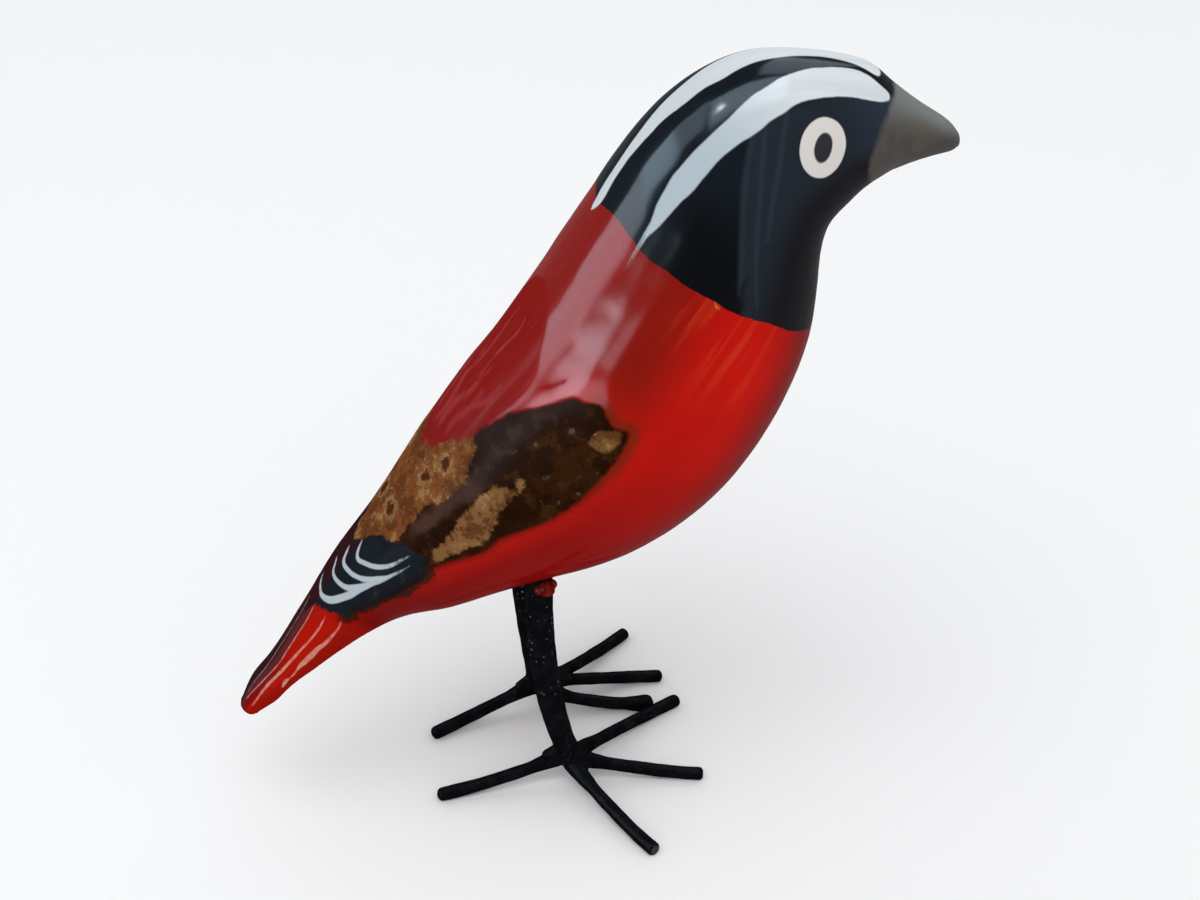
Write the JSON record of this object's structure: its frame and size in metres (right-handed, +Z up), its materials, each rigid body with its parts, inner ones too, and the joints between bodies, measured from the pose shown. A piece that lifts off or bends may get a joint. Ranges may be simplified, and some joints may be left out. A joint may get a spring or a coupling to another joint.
{
  "type": "wooden bird figurine",
  "caption": "Carved wooden songbird ornament with a raised head and a short beak, standing on slim wire legs with splayed toes, hand painted and lacquered.",
  "frame": {"origin": "on the floor, at the middle of the rectangle that the bird covers seen from above", "axes": "+X forward, from the tail towards the beak; +Y towards the bird's left; +Z up. The bird's own plane of symmetry lies at y = +2.80 mm, because the right outer toe reaches further out than any toe of the left foot"},
  "size_m": [0.1104, 0.0534, 0.1196],
  "materials": {
    "lacquered_wood": "carved wood, hand painted in red, navy, brown and white, under a thick gloss lacquer",
    "black_enamel": "thick black enamel over wire, satin with small specks"
  },
  "bodies": {
    "root": {"body": "lacquered_wood", "right_leg": "black_enamel", "left_leg": "black_enamel"}
  },
  "joints": []
}
